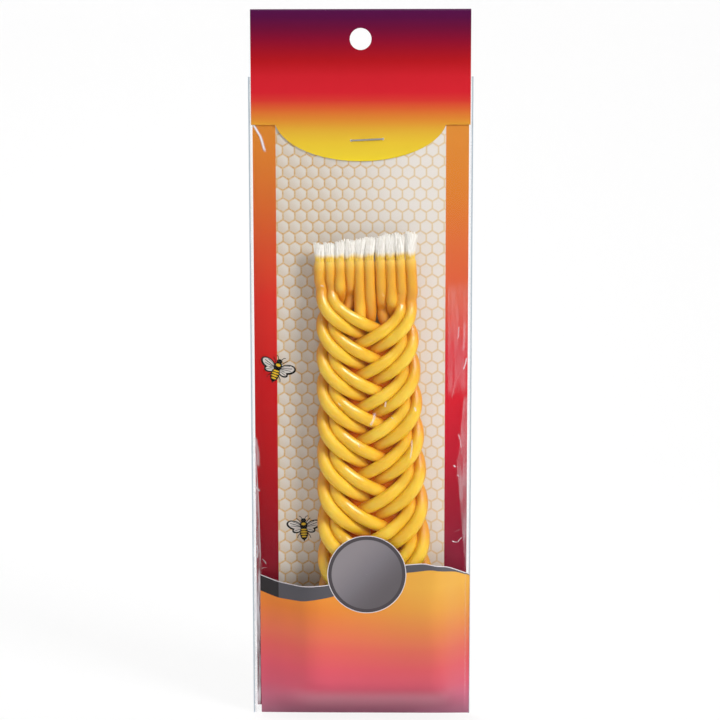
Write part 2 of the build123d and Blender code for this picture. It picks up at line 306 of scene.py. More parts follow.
def insert_print():
    """Coated card: a honeycomb panel between two borders that run from orange to dark magenta, on a bare
    greyish back."""
    material, tree, where = new_finish("insert_print")
    across, _, height = add(tree, "SeparateXYZ", [where], give=None).outputs
    panel = honeycomb_panel(tree, where, across, height)
    down = add(tree, "MapRange", [height, BORDER_TOP * MM, BORDER_FOOT * MM])
    left = add(tree, "ValToRGB", [down], stops=[
        (0.0, "dd962a"), (0.18, "d56b28"), (0.26, "d95028"), (0.34, "dc2e22"), (0.47, "c80c14"),
        (0.58, "b40612"), (0.66, "a00214"), (0.74, "86001a"), (1.0, "760024"),
    ])
    right = add(tree, "ValToRGB", [down], stops=[
        (0.0, "de9434"), (0.18, "dd7f2e"), (0.26, "de6c38"), (0.34, "dd5a3c"), (0.42, "d9303a"),
        (0.50, "d4182c"), (0.58, "c00e2c"), (0.66, "a20628"), (0.74, "8c022e"), (1.0, "7a0034"),
    ])
    on_right = add(tree, "Math", [across, 0.0], "GREATER_THAN")
    border = add(tree, "Mix", [on_right, left, right], **COLOURS)
    aside = add(tree, "Math", [across], "ABSOLUTE")
    outside = add(tree, "MapRange", [aside, (PANEL_HALF - 0.05) * MM, (PANEL_HALF + 0.05) * MM], **SMOOTH)
    colour = cut_edges(tree, add(tree, "Mix", [outside, panel, border], **COLOURS))
    # flecks of pulp on the back, about 1.4 mm wide
    pulp = add(tree, "TexNoise", [where, per_metre(1.4286), 4.0])
    board = add(tree, "ValToRGB", [pulp], stops=[(0.35, "d8d4cc"), (0.65, "e4e1da")])
    facing = add(tree, "SeparateXYZ", [add(tree, "TexCoord", give="Normal")], give="Y")
    behind = add(tree, "Math", [facing, 0.5], "GREATER_THAN")
    coated_card(tree, where, add(tree, "Mix", [behind, colour, board], **COLOURS))
    return material


# Clear film

# Creases on the pack, drawn milky white for whitened film and as painted glints: where each starts and
# ends, its bow to the right, its half width and how milky it is. The first ones run along the edges, and
# the short ones, painted glints, lie where the film touches the candle.
CREASE_GLINTS = (
    ((-41.4, -30.5), (-36.2, -42.5), 0.9, 0.8, 0.95),
    ((-41.3, -152.0), (-39.3, -204.0), 0.5, 0.3, 0.75),
    ((-41.2, -151.0), (-39.9, -164.0), 0.5, 1.2, 0.5),
    ((-41.2, -171.0), (-39.6, -173.0), 0.0, 1.2, 0.7),
    ((-40.6, -194.0), (-40.6, -200.0), 0.3, 0.5, 0.8),
    ((-38.6, -199.5), (-37.0, -201.5), 0.4, 0.35, 0.6),
    ((-38.9, -203.5), (-36.4, -202.6), -0.4, 0.35, 0.6),
    ((37.4, -108.0), (37.0, -113.5), 0.1, 0.6, 0.3),
    ((39.6, -106.0), (39.2, -119.0), 0.2, 0.9, 0.22),
    ((40.6, -120.5), (39.2, -125.5), 0.2, 0.5, 0.6),
    ((39.0, -124.0), (34.6, -136.0), -0.8, 0.6, 0.14),
    ((37.3, -149.5), (38.6, -156.0), 0.4, 0.5, 0.35),
    ((35.6, -161.6), (36.3, -162.6), 0.0, 0.5, 0.7),
    ((37.0, -165.6), (37.8, -166.6), 0.0, 0.4, 0.5),
    ((35.2, -191.0), (37.4, -192.2), -0.5, 0.4, 0.9),
    ((37.4, -192.2), (39.2, -190.6), -0.3, 0.35, 0.7),
    ((35.8, -187.8), (38.4, -187.2), 0.5, 0.3, 0.4),
    ((-15.0, -91.6), (-13.8, -92.2), 0.0, 0.5, 0.8),
    ((3.6, -145.2), (5.4, -139.8), 0.5, 0.8, 0.45),
    ((9.2, -138.0), (9.6, -135.6), 0.0, 0.5, 0.5),
    ((20.4, -137.8), (21.0, -139.6), 0.0, 0.6, 0.55),
    ((11.4, -141.6), (12.4, -142.4), 0.0, 0.5, 0.4),
    ((19.4, -150.0), (18.8, -158.0), 0.3, 0.5, 0.4),
    ((-8.6, -136.2), (-7.4, -137.6), 0.0, 0.4, 0.4),
    ((-1.2, -152.0), (-0.2, -153.4), 0.0, 0.5, 0.35),
)
# Milky stretches between a crease and the film's edge, where crinkled film is drawn milky white and so
# paints the
# sheen it mirrors: the side, from and to which height, the inner edge's distance from the pack's middle at
# both, and how milky.
HAZE_SHEENS = (
    (-1, -150.0, -207.0, 40.6, 38.6, 0.42),
    (-1, -200.0, -262.0, 39.2, 39.6, 0.75),
    (1, -90.0, -136.0, 33.0, 33.0, 0.10),
    (1, -134.0, -168.0, 39.5, 36.5, 0.16),
    (1, -158.0, -206.0, 36.4, 40.6, 0.22),
)


def crease_glint(tree, x, z, start, end, bow, half_width, milk_and_sheen):
    """How milky one crease makes the film at a place, as whitened film and as a painted glint."""
    along = add(tree, "MapRange", [z, start[1] * MM, end[1] * MM])
    to_end = add(tree, "Math", [along, 0.5], "PINGPONG")
    line = add(tree, "Math", [along, (end[0] - start[0]) * MM, start[0] * MM], "MULTIPLY_ADD")
    line = add(tree, "Math", [to_end, 2 * bow * MM, line], "MULTIPLY_ADD")
    off = add(tree, "Math", [x, line], "SUBTRACT")
    off = add(tree, "Math", [off], "ABSOLUTE")
    across = add(tree, "MapRange", [off, half_width * MM, 0.0, 0.0, milk_and_sheen], **SMOOTH)
    ends = add(tree, "MapRange", [to_end, 0.0, 0.15], **SMOOTH)
    return add(tree, "Math", [across, ends], "MULTIPLY")


def haze_sheen(tree, x, z, side, top, foot, inner_top, inner_foot, milk_and_sheen):
    """How milky a crinkled stretch beside the film's edge is, which paints its sheen."""
    along = add(tree, "MapRange", [z, top * MM, foot * MM])
    to_end = add(tree, "Math", [along, 0.5], "PINGPONG")
    inner = add(tree, "Math", [along, (inner_foot - inner_top) * MM, inner_top * MM], "MULTIPLY_ADD")
    aside = add(tree, "Math", [x, side], "MULTIPLY")
    beyond = add(tree, "Math", [aside, inner], "SUBTRACT")
    across = add(tree, "MapRange", [beyond, 0.0, 0.3 * MM, 0.0, milk_and_sheen], **SMOOTH)
    ends = add(tree, "MapRange", [to_end, 0.0, 0.12], **SMOOTH)
    return add(tree, "Math", [across, ends], "MULTIPLY")


def weld_haze(tree, x):
    """The melted side welds: a little milky over their width, and more along the bag's cut edge."""
    aside = add(tree, "Math", [x], "ABSOLUTE")
    inner, outer = (BAG_RIGHT - SIDE_WELD) * MM, (BAG_RIGHT - 0.55) * MM
    weld = add(tree, "MapRange", [aside, inner - 0.1 * MM, inner + 0.1 * MM, 0.0, 0.3], **SMOOTH)
    cut = add(tree, "MapRange", [aside, outer - 0.15 * MM, outer + 0.15 * MM, 0.0, 0.6], **SMOOTH)
    return add(tree, "Math", [weld, cut], "ADD")


def clear_film():
    """Cast polypropylene film with heat-sealed sides: what lies behind shows through it, it mirrors the
    lights when seen at a slant, and it is milky where it is welded. Along creases and crinkled stretches,
    milky white stands for whitened film and also paints the glints and sheen they catch."""
    material, tree, where = new_finish("clear_film")
    x, y, z = add(tree, "SeparateXYZ", [where], give=None).outputs
    weld = weld_haze(tree, x)
    milk_and_sheen = weld
    for one in CREASE_GLINTS:
        milk_and_sheen = add(tree, "Math", [milk_and_sheen, crease_glint(tree, x, z, *one)], "MAXIMUM")
    # crinkles about 1.5 mm wide and 13 mm long, which break up the painted sheen
    lengthwise = add(tree, "VectorMath", [where, (1.0, 1.0, 0.12)], "MULTIPLY")
    crinkles = add(tree, "TexNoise", [lengthwise, per_metre(1.5385), 3.0])
    crinkles = add(tree, "MapRange", [crinkles, 0.35, 0.65, 0.3, 1.0], **SMOOTH)
    for one in HAZE_SHEENS:
        painted_sheen = add(tree, "Math", [haze_sheen(tree, x, z, *one), crinkles], "MULTIPLY")
        milk_and_sheen = add(tree, "Math", [milk_and_sheen, painted_sheen], "MAXIMUM")
    # the back film is plain
    in_front = add(tree, "Math", [y, (FILM_FACE + 0.02) * MM], "LESS_THAN")
    milk_and_sheen = add(tree, "Math", [milk_and_sheen, in_front], "MULTIPLY")
    # waves about 14 mm wide
    waves = add(tree, "VectorMath", [where, (1.0, 1.0, 0.4)], "MULTIPLY")
    waves = add(tree, "TexNoise", [waves, per_metre(14.286), 2.0])
    normal = add(tree, "Bump", {"Height": waves, "Distance": 1 * MM, "Strength": 0.2})
    facing = add(tree, "LayerWeight", {"Blend": 0.5, "Normal": normal}, give="Facing")
    slant = add(tree, "Math", [facing, 5.0], "POWER")
    mirror = add(tree, "Math", [slant, 0.9, 0.008], "MULTIPLY_ADD")
    clear = add(tree, "BsdfTransparent", {"Color": linear("fefefe")})
    gloss = add(tree, "BsdfGlossy", {"Color": linear("ffffff"), "Roughness": 0.12, "Normal": normal})
    film = add(tree, "MixShader", [mirror, clear, gloss])
    milk_and_sheen_colour = add(tree, "Mix", [weld, linear("f4f0f6"), linear("9aabb6")], **COLOURS)
    film = add(tree, "MixShader", [milk_and_sheen, film, add(tree, "BsdfDiffuse", [milk_and_sheen_colour])])
    add(tree, "OutputMaterial", [film], give=None)
    return material


# Steel and inks


def staple_steel():
    """Galvanised steel wire, drawn: grey metal with a fine grain along its length, drawn 0.3 mm wide."""
    material, tree, where = new_finish("staple_steel")
    lengthwise = add(tree, "VectorMath", [where, (0.05, 1.0, 1.0)], "MULTIPLY")
    grain = add(tree, "TexNoise", [lengthwise, per_metre(1 / 3), 2.0])
    wire = add(tree, "BsdfPrincipled", {
        "Base Color": linear("98989a"),
        "Metallic": 1.0,
        "Roughness": add(tree, "Math", [grain, 0.2, 0.2], "MULTIPLY_ADD"),
        "Normal": add(tree, "Bump", {"Height": grain, "Distance": 0.03 * MM}),
    })
    add(tree, "OutputMaterial", [wire], give=None)
    return material


def ink(name, colour, coat=0.12):
    """Printing ink, dried to a silky layer that takes the gloss of what it is on. Its colour is a hex
    code, or a function that works it out from the place."""
    material, tree, where = new_finish(name)
    fine = add(tree, "TexNoise", [where, per_metre(0.4), 2.0])
    layer = add(tree, "BsdfPrincipled", {
        "Base Color": colour(tree, where) if callable(colour) else linear(colour),
        "Roughness": add(tree, "Math", [fine, 0.10, 0.32], "MULTIPLY_ADD"),
        "Specular IOR Level": 0.15,
        "Coat Weight": coat,
        "Coat Roughness": 0.15,
    })
    add(tree, "OutputMaterial", [layer], give=None)
    return material


def label_colour(tree, where):
    """Orange at the top, through pink, to a dull purple at the foot, and yellower to the right."""
    x, _, z = add(tree, "SeparateXYZ", [where], give=None).outputs
    down = add(tree, "MapRange", [z, LABEL_TOP * MM, BAG_FOOT * MM])
    left = add(tree, "ValToRGB", [down], stops=[
        (0.0, "ee922e"), (0.16, "ec8234"), (0.32, "ec7650"), (0.46, "ea645e"), (0.60, "e45a6a"),
        (0.74, "d85a72"), (0.84, "c6667e"), (0.92, "b4687e"), (1.0, "a0687c"),
    ])
    right = add(tree, "ValToRGB", [down], stops=[
        (0.0, "e2a845"), (0.16, "de9a42"), (0.32, "da8248"), (0.46, "d76a54"), (0.60, "d55a60"),
        (0.74, "d05a6e"), (0.84, "c4667e"), (0.92, "b46a80"), (1.0, "a0687e"),
    ])
    to_right = add(tree, "MapRange", [x, -36 * MM, 34 * MM], **SMOOTH)
    return add(tree, "Mix", [to_right, left, right], **COLOURS)


def badge_colour(tree, where):
    """Light grey at the upper left to dark grey at the lower right."""
    slope = math.sqrt(0.5)
    slant = add(tree, "VectorMath", [where, (slope, 0.0, -slope)], "DOT_PRODUCT")
    middle = slope * (BADGE[0] - BADGE[1])
    down = add(tree, "MapRange", [slant, (middle - 11.8) * MM, (middle + 11.2) * MM], **SMOOTH)
    return add(tree, "ValToRGB", [down], stops=[(0.0, "8c868a"), (0.5, "79747a"), (1.0, "605b5f")])


def band_colour(tree, where):
    """Grey ink, thin enough to look darker where the card's dark left border lies behind it."""
    x = add(tree, "SeparateXYZ", [where], give="X")
    edge_near, edge_far = -(PANEL_HALF - 0.5) * MM, -(PANEL_HALF - 0.1) * MM
    over_border = add(tree, "MapRange", [x, edge_near, edge_far], **SMOOTH)
    return add(tree, "Mix", [over_border, linear("56545a"), linear("2a2628")], **COLOURS)


# Meshes


def new_object(name, points, faces, material, body, slot, nodes=(), smooth=True, **maps):
    """A piece from points and faces, with maps that hold two values for each point."""
    mesh = bpy.data.meshes.new(name)
    mesh.from_pydata([tuple(point) for point in np.asarray(points) * MM], [], faces)
    if smooth:
        mesh.shade_smooth()
    corners = np.empty(len(mesh.loops), dtype=int)
    mesh.loops.foreach_get("vertex_index", corners)
    for map_name, values in maps.items():
        layer = mesh.uv_layers.new(name=map_name)
        layer.data.foreach_set("uv", np.asarray(values)[corners].ravel())
    mesh.update()
    mesh.materials.append(material)
    made = bpy.data.objects.new(name, mesh)
    bpy.context.scene.collection.objects.link(made)
    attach(made, body)
    if nodes:
        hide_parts(*nodes)


def tube_faces(rings, sides, start=0, caps=True):
    faces = []
    for i in range(rings - 1):
        for j in range(sides):
            k = (j + 1) % sides
            a = start + i * sides
            faces.append((a + j, a + k, a + sides + k, a + sides + j))
    if caps:
        faces.append(tuple(start + j for j in range(sides))[::-1])
        faces.append(tuple(start + (rings - 1) * sides + j for j in range(sides)))
    return faces


def grid_faces(rows, columns):
    return [
        (i * columns + j, i * columns + j + 1, (i + 1) * columns + j + 1, (i + 1) * columns + j)
        for i in range(rows - 1) for j in range(columns - 1)
    ]


def circle(count):
    """Angles all round, evenly spaced."""
    return 2 * np.pi * np.arange(count) / count


def ring_axes(line):
    """At each point of a line, a direction across it and one that is square to both."""
    direction = np.gradient(line, axis=0)
    direction /= np.linalg.norm(direction, axis=1, keepdims=True)
    across = np.cross((0, 1, 0), direction)
    across /= np.linalg.norm(across, axis=1, keepdims=True)
    return across, np.cross(direction, across)


def rings_round(line, radii, turns):
    """A ring of points round each point of a line."""
    across, deep = ring_axes(line)
    spokes = np.cos(turns)[:, None] * across[:, None, :] + np.sin(turns)[:, None] * deep[:, None, :]
    return line[:, None, :] + np.asarray(radii)[..., None] * spokes


def smoothstep(value):
    value = np.clip(value, 0, 1)
    return value * value * (3 - 2 * value)


# The plait, in the candle's own upright frame. A fall is a distance below the wax top.

TAPER_D = 3.7
PITCH = 3.8
WAX_TOP = -81.8
WAX_LENGTH = 164.0
SWELL_SHARE = 0.245
PLAIT_START = 13.6
CANDLE_X = 1.6
CANDLE_LEAN = math.radians(1.75)
CANDLE_TRAVEL = 10.0

# Every pair of tapers follows one path from edge to edge and back. Its swing, depth and stride are in
# taper spacings, as the first terms of a cosine or sine series.
PAIRS = 5
LAY_SHARE = 2.88
LAY_GROWTH_SHARE = 0.42
SWING_SHARE = 3.83
SWING_THIRD_SHARE = -0.02
STRIDE_SHARE = 0.02
PAIR_SPREAD_SHARE = 0.15
DEPTH_SHARES = (0.79, -0.12, 0.09)
PAIR_DEPTH_SHARES = (0.09, -0.24, 0.1)
DEEPEST_SHARE = 0.893

# One line for each pair, left to right in the straight row: its distance from the middle in taper
# spacings, the side where it turns first, how many lays it waits before that turn, and the part of a
# round over which it leaves the row
ROW_SHARES = (
    (4.0, -1, 0.0, (-0.14, 0.06)),
    (2.0, -1, 1.0, (-0.36, -0.14)),
    (0.0, -1, 2.0, (-0.40, -0.20)),
    (2.0, 1, 1.5, (-0.36, -0.14)),
    (4.0, 1, 0.5, (-0.14, 0.06)),
)
ROW_ROUNDING_SHARE = 1.3
ROW_JOIN_SHARE = 0.1
# The pairs that wait inside the row turn out of it this much faster than in the solids
EARLY_TURN = 1.45

# The strands are fatter than the solids, and sink into each other past the half-way plane
FULL_SHARE = 1.22
SINK = 0.9
NEAR_SHARE = 1.7
PRESS_SHARPNESS = 6
STRAND_STEP = 0.55
STRAND_SIDES = 24

# A pressed taper is up to 1.3 times as wide as a free one
TAPER_HALF = TAPER_D * 1.3 / 2
HALF_DEPTH = TAPER_HALF + PITCH * DEEPEST_SHARE


def swell(fall):
    """How much thicker the plait is than at its top."""
    return 1 + SWELL_SHARE * fall / WAX_LENGTH


def lay(fall):
    """The length of one crossing, which grows towards the foot."""
    return LAY_SHARE * PITCH * (1 + LAY_GROWTH_SHARE * fall / WAX_LENGTH)


def rounds(fall):
    """How many rounds, from edge to edge and back, a pair has made below the start of the plait."""
    growth = np.log(lay(fall) / lay(PLAIT_START))
    return growth * WAX_LENGTH / LAY_GROWTH_SHARE / (PAIRS * LAY_SHARE * PITCH)


def pair_line(row, wait, fall):
    """The middle of a pair: how far out it is on the side where it turns first, and its own fall."""
    angle = 2 * np.pi * (rounds(fall) - wait / PAIRS)
    early = EARLY_TURN if row < SWING_SHARE else 1.0
    turn = np.where(angle < 0, np.maximum(angle * early, -np.pi), angle)
    steady = np.cos(turn) + SWING_THIRD_SHARE * np.cos(3 * turn)
    steady = -SWING_SHARE * steady / (1 + SWING_THIRD_SHARE)
    join = smoothstep(-angle / (2 * np.pi * ROW_JOIN_SHARE))
    rounding = ROW_ROUNDING_SHARE * max(0, 1 - row / SWING_SHARE)
    least = (-row + steady - np.hypot(-row - steady, rounding)) / 2
    across = steady + join * (least - steady)
    stride = lay(fall) * PAIRS * STRIDE_SHARE / (2 * np.pi) * np.sin(2 * np.maximum(angle, -np.pi / 2))
    return across * PITCH * swell(fall), fall + stride


def taper_line(place, side, fall):
    """Points on the middle of a taper, on one side of its pair."""
    row, hand, wait, (leave, settled) = place
    a_little = 0.04
    x, down = pair_line(row, wait, fall)
    x_ahead, down_ahead = pair_line(row, wait, fall + a_little)
    run = np.hypot(x_ahead - x, down_ahead - down)
    turned = rounds(fall) - wait / PAIRS
    spread = 1 + PAIR_SPREAD_SHARE * np.sin(2 * np.pi * np.maximum(turned, 0)) ** 2
    half = side * PITCH * swell(fall) * spread / 2
    across = x + half * (down_ahead - down) / run
    low = down - half * (x_ahead - x) / run
    angle = 2 * np.pi * np.maximum(turned, -0.25)
    weave = sum(share * np.sin(2 * (i + 1) * angle) for i, share in enumerate(DEPTH_SHARES))
    pair_weave = sum(share * np.sin((2 * i + 1) * angle) for i, share in enumerate(PAIR_DEPTH_SHARES))
    depth = smoothstep((turned - leave) / (settled - leave)) * (weave + side * pair_weave)
    y = CANDLE_BACK - swell(fall) * (HALF_DEPTH + PITCH * depth)
    return np.stack([-hand * across, y, -low], -1)


def candle_place(points):
    """From the candle's upright frame to its leaning place in the pack."""
    x, y, z = np.moveaxis(points, -1, 0)
    c, s = math.cos(CANDLE_LEAN), math.sin(CANDLE_LEAN)
    return np.stack([CANDLE_X + x * c - z * s, y, WAX_TOP + x * s + z * c], -1).reshape(-1, 3)


def strand_lines():
    """Each taper's falls and the points on its middle, left to right in the straight row."""
    lines = []
    for place in ROW_SHARES:
        for side in ((-1, 1) if place[1] < 0 else (1, -1)):
            fall = np.arange(0, WAX_LENGTH * 1.12, STRAND_STEP)
            line = taper_line(place, side, fall)
            inside = line[:, 2] > -WAX_LENGTH
            lines.append((fall[inside], line[inside]))
    return lines


def free_radius(fall):
    """A taper's radius where nothing presses on it."""
    return TAPER_D * FULL_SHARE * swell(fall) / 2


def pressed_radii(fall, line, others, owners, turns):
    """A taper's radii all round: its free one, and less where the others leave it no room. Others are
    points on the other tapers' middles, and owners say which taper each is on."""
    across, deep = ring_axes(line)
    free = free_radius(fall)
    reach_out = PITCH * swell(fall) * NEAR_SHARE
    radii = np.empty((len(line), len(turns)))
    for i, middle in enumerate(line):
        gaps = others - middle
        squares = (gaps ** 2).sum(1)
        near = squares < reach_out[i] ** 2
        crowd = np.full(len(turns), free[i] ** -PRESS_SHARPNESS)
        if near.any():
            outward = np.outer(np.cos(turns), across[i]) + np.outer(np.sin(turns), deep[i])
            along = np.maximum(gaps[near] @ outward.T, 1e-6)
            rooms = squares[near, None] / 2 / along
            for owner in np.unique(owners[near]):
                room = rooms[owners[near] == owner].min(0) + SINK
                crowd += room ** -PRESS_SHARPNESS
        radii[i] = crowd ** (-1 / PRESS_SHARPNESS)
    return radii


def make_tapers(material):
    """The ten plaited tapers. It gives the tops of their middles."""
    lines = strand_lines()
    everything = np.concatenate([line for _, line in lines])
    owner = np.concatenate([np.full(len(line), i) for i, (_, line) in enumerate(lines)])
    turns = circle(STRAND_SIDES)
    for number, (fall, line) in enumerate(lines):
        other = owner != number
        radii = pressed_radii(fall, line, everything[other], owner[other], turns)
        # a strand counts as fully pressed where it has lost 14 % of its radius, and there the wax takes
        # its full painted crease shade
        crease_shade = np.clip((1 - radii / free_radius(fall)[:, None]) / 0.14, 0, 1)
        # even out neighbouring rings
        padded = np.pad(radii, ((2, 2), (0, 0)), mode="edge")
        radii = sum(w * padded[k:k + len(radii)] for k, w in enumerate((0.1, 0.22, 0.36, 0.22, 0.1)))
        # slow unevenness, and a narrower tip
        uneven, tip_share, tip_length = 0.012, 0.74, 2.5
        phase = rng.uniform(0, 2 * np.pi, 6)
        wave = sum(np.sin(fall * k + p) for k, p in zip((0.21, 0.47, 0.9), phase)) / 3
        radii = radii * (1 - uneven + uneven * wave[:, None])
        radii = radii * (tip_share + (1 - tip_share) * smoothstep(fall / tip_length))[:, None]
        points = rings_round(line, radii, turns)
        points[..., 2] = np.maximum(points[..., 2], -WAX_LENGTH)
        around, down = np.broadcast_arrays(turns / (2 * np.pi), fall[:, None] * MM)
        # how deep in the plait each point lies, which sets the wax's painted shade
        middle = CANDLE_BACK - swell(fall)[:, None] * HALF_DEPTH
        deep_in = np.clip(1 - np.abs(points[..., 1] - middle) / HALF_DEPTH, 0, 1)
        new_object(f"wax_taper_{number + 1}", candle_place(points), tube_faces(len(line), STRAND_SIDES),
                   material, "candle", "beeswax", [f"taper_{number + 1}"],
                   UVMap=np.stack([around, down], -1).reshape(-1, 2),
                   plait=np.stack([crease_shade, deep_in], -1).reshape(-1, 2))
    return [line[0] for _, line in lines]


def make_web(material):
    """Wax that has run together in the middle of the plait, seen in its gaps. It takes the full painted
    crease shade, a deep orange.
    """
    top, half_width, half_depth, forward = 32.0, PITCH * (SWING_SHARE - 0.9), 0.5, 0.4
    fall = np.arange(top, WAX_LENGTH - 1, 1.0)[:, None]
    turns = circle(STRAND_SIDES)
    x = half_width * swell(fall) * np.cos(turns)
    y = CANDLE_BACK - swell(fall) * (HALF_DEPTH + forward) + half_depth * np.sin(turns)
    x, y, z, around, down = np.broadcast_arrays(x, y, -fall, turns / (2 * np.pi), fall * MM)
    new_object("wax_web", candle_place(np.stack([x, y, z], -1)), tube_faces(len(fall), STRAND_SIDES),
               material, "candle", "beeswax",
               UVMap=np.stack([around, down], -1).reshape(-1, 2), plait=np.ones((x.size, 2)))


# The wicks' tufts: loose threads on a core. They are longer to the right.

TUFT_LEFT, TUFT_RIGHT = 5.5, 8.9
TUFT_ROOT = 1.4
TUFT_HALF_WIDTH, TUFT_FLARE = 1.72, 0.26
TUFT_HALF_DEPTH, TUFT_FLATTENING = 1.68, 1.15
THREADS = 80
THREAD_RADIUS = 0.13
THREAD_SIDES = 4


def tuft_place(across, deep, rise, length, lean, cut):
    """A place in a tuft, which flares sideways and gets flat: across and deep run from -1 to 1, and rise
    from 0 at the root to 1 at the cut."""
    x = across * (TUFT_HALF_WIDTH + TUFT_FLARE * smoothstep(rise * 1.2)) + lean * rise ** 1.5
    y = deep * (TUFT_HALF_DEPTH - TUFT_FLATTENING * smoothstep(rise * 1.1))
    return np.stack([x, y, (length + cut * across + TUFT_ROOT) * rise - TUFT_ROOT], -1)


def make_wicks(tops, material):
    """Each wick is a flared tuft, cut ragged at the top: loose cotton on a ribbed core."""
    core_rings, core_sides = 12, 48
    around = circle(core_sides)
    core_rise = np.linspace(0, 1, core_rings)[:, None]
    rise = np.linspace(0, 1, 8)
    for number, top in enumerate(tops):
        free = TUFT_LEFT + (TUFT_RIGHT - TUFT_LEFT) * number / (len(tops) - 1)
        lean = rng.normal(0.15, 0.45)
        cut = rng.normal(0, 0.55)
        phase = rng.uniform(0, 6.28, 3)
        ribs = 0.9 + 0.05 * np.sin(11 * around + phase[0])
        ribs = ribs + 0.05 * np.sin(19 * around + phase[1] + 2 * core_rise)
        ragged = free * (0.93 + 0.05 * np.sin(7 * around + phase[2]))
        core = tuft_place(np.cos(around) * ribs, np.sin(around) * ribs, core_rise, ragged, lean, cut)
        points = [(core + top)[::-1].reshape(-1, 3)]
        faces = tube_faces(core_rings, core_sides)
        for _ in range(THREADS):
            root = rng.uniform(-1, 1)
            end = np.clip(root + rng.normal(0, 0.2), -1.1, 1.1)
            across = root + (end - root) * rise
            face = rng.choice((-1, 1))
            deep = face * np.sqrt(np.maximum(1 - across ** 2, 0)) * rng.uniform(0.85, 1.15)
            thread = tuft_place(across, deep, rise, free * rng.uniform(0.84, 1.07), lean, cut)
            thread[:, 0] += rng.normal(0, 0.1) * rise ** 2
            start = sum(len(group) for group in points)
            faces.extend(tube_faces(len(rise), THREAD_SIDES, start))
            rings = rings_round((thread + top)[::-1], THREAD_RADIUS, circle(THREAD_SIDES))
            points.append(rings.reshape(-1, 3))
        points = np.concatenate(points)
        heights = (points[:, 2] - top[2]) * MM
        new_object(f"cotton_wick_{number + 1}", candle_place(points), faces, material, "candle", "cotton",
                   [f"wick_{number + 1}"], UVMap=np.stack([np.zeros_like(heights), heights], -1))


# The film, on a grid

FILM_X = np.linspace(BAG_LEFT, BAG_RIGHT, 171)
FILM_Z = np.linspace(BAG_MOUTH, BAG_FOOT, 373)
# The film's front stands off the candle by a gap and by its own thickness
FILM_ROOM = FILM_FACE - CANDLE_BACK + CANDLE_GAP + FILM_T


def chamber(fall, half_depth):
    """How far the film stands off for this part of the candle, also when it is pushed up."""
    return swell(fall + CANDLE_TRAVEL) * (HALF_DEPTH + half_depth) + FILM_ROOM


def rounded(field, width, axis):
    """The field with its corners rounded along one axis, over a width in grid steps."""
    window = np.exp(-np.linspace(-2, 2, width) ** 2)
    window /= window.sum()

    def smoothed(line):
        return np.convolve(np.pad(line, width // 2, mode="edge"), window, "valid")

    return np.apply_along_axis(smoothed, axis, field)


def film_field():
    """How far the front film stands off its flat part, on the grid of FILM_Z by FILM_X."""
    # its slopes turn just beyond the candle's parts
    under_foot, over_wax, over_tip, under_tongue = 2.6, 0.2, 0.7, 0.3
    heights, depths = zip(
        (BAG_FOOT, 0),
        (BAG_FOOT + BOTTOM_WELD, 0),
        (WAX_TOP - WAX_LENGTH - under_foot, chamber(WAX_LENGTH, HALF_DEPTH)),
        (WAX_TOP + over_wax, chamber(PLAIT_START, HALF_DEPTH)),
        (WAX_TOP + CANDLE_TRAVEL + over_tip, chamber(0, 2.2)),
        (WAX_TOP + CANDLE_TRAVEL + TUFT_RIGHT + over_tip, chamber(0, 0.65)),
        (TONGUE_FOOT - under_tongue, 0),
        (BAG_MOUTH, 0),
    )
    depth = np.interp(FILM_Z, heights, depths)
    fall = np.clip(WAX_TOP - FILM_Z, 0, WAX_LENGTH)
    middle = CANDLE_X + fall * math.sin(CANDLE_LEAN)
    half = (TAPER_HALF + PITCH * (SWING_SHARE + 0.5)) * swell(fall + CANDLE_TRAVEL) + 1.6
    x, z = FILM_X[None, :], FILM_Z[:, None]
    aside = x - middle[:, None]
    rim = BAG_RIGHT - SIDE_WELD - np.sign(aside) * middle[:, None]
    share = np.clip((rim - np.abs(aside)) / (rim - half[:, None]), 0, 1)
    field = depth[:, None] * share
    # the film is taut over the plait, and looser towards its foot
    loose_top = -190.0
    taut = rounded(rounded(field, 13, 0), 13, 1)
    loose = rounded(rounded(field, 25, 0), 41, 1)
    field = taut + smoothstep((loose_top - z) / 25) * (loose - taut)
    field = field * smoothstep(share * 12)
    # slanting folds in the slopes beside the plait, fading out at both ends
    folds_top, folds_foot, folds_depth = -92.0, -258.0, 0.22
    slope = np.clip(share * 1.2, 0, 1) * np.clip((1 - share) * 3, 0, 1)
    slope = slope * smoothstep((folds_top - z) / 20) * smoothstep((z - folds_foot) / 6)
    folds = np.full_like(field, 0.4)
    for amount, across, along in ((0.5, 0.42, 0.03), (0.35, 0.6, -0.04), (0.3, 0.25, 0.08)):
        phase = rng.uniform(0, 6.28)
        folds += amount * np.sin(x * across + z * along + 1.3 * np.sin(z * 0.03 + phase) + phase)
    return field + folds_depth * slope * folds


FIELD = film_field()


def film_y(x, z, lift=0.0):
    """Depth of the film's front at a place in the pack, from the same grid as its mesh."""
    i = np.clip((z - FILM_Z[0]) / (FILM_Z[1] - FILM_Z[0]), 0, len(FILM_Z) - 1.001)
    j = np.clip((x - FILM_X[0]) / (FILM_X[1] - FILM_X[0]), 0, len(FILM_X) - 1.001)
    a, b = i.astype(int), j.astype(int)
    u, v = i - a, j - b
    upper = FIELD[a, b] * (1 - v) + FIELD[a, b + 1] * v
    lower = FIELD[a + 1, b] * (1 - v) + FIELD[a + 1, b + 1] * v
    return FILM_FACE - (upper * (1 - u) + lower * u) - lift


def on_film(name, x, z, faces, material, lift=0.0, nodes=()):
    """A piece that lies on the film's front, or is it."""
    points = np.stack([x, film_y(x, z, lift), z], -1).reshape(-1, 3)
    new_object(name, points, faces, material, "pack", "clear_film", nodes)


def make_film(material):
    x, z = np.meshgrid(FILM_X, FILM_Z)
    faces = [face[::-1] for face in grid_faces(*x.shape)]
    on_film("front_film", x, z, faces, material, nodes=["bag_front"])


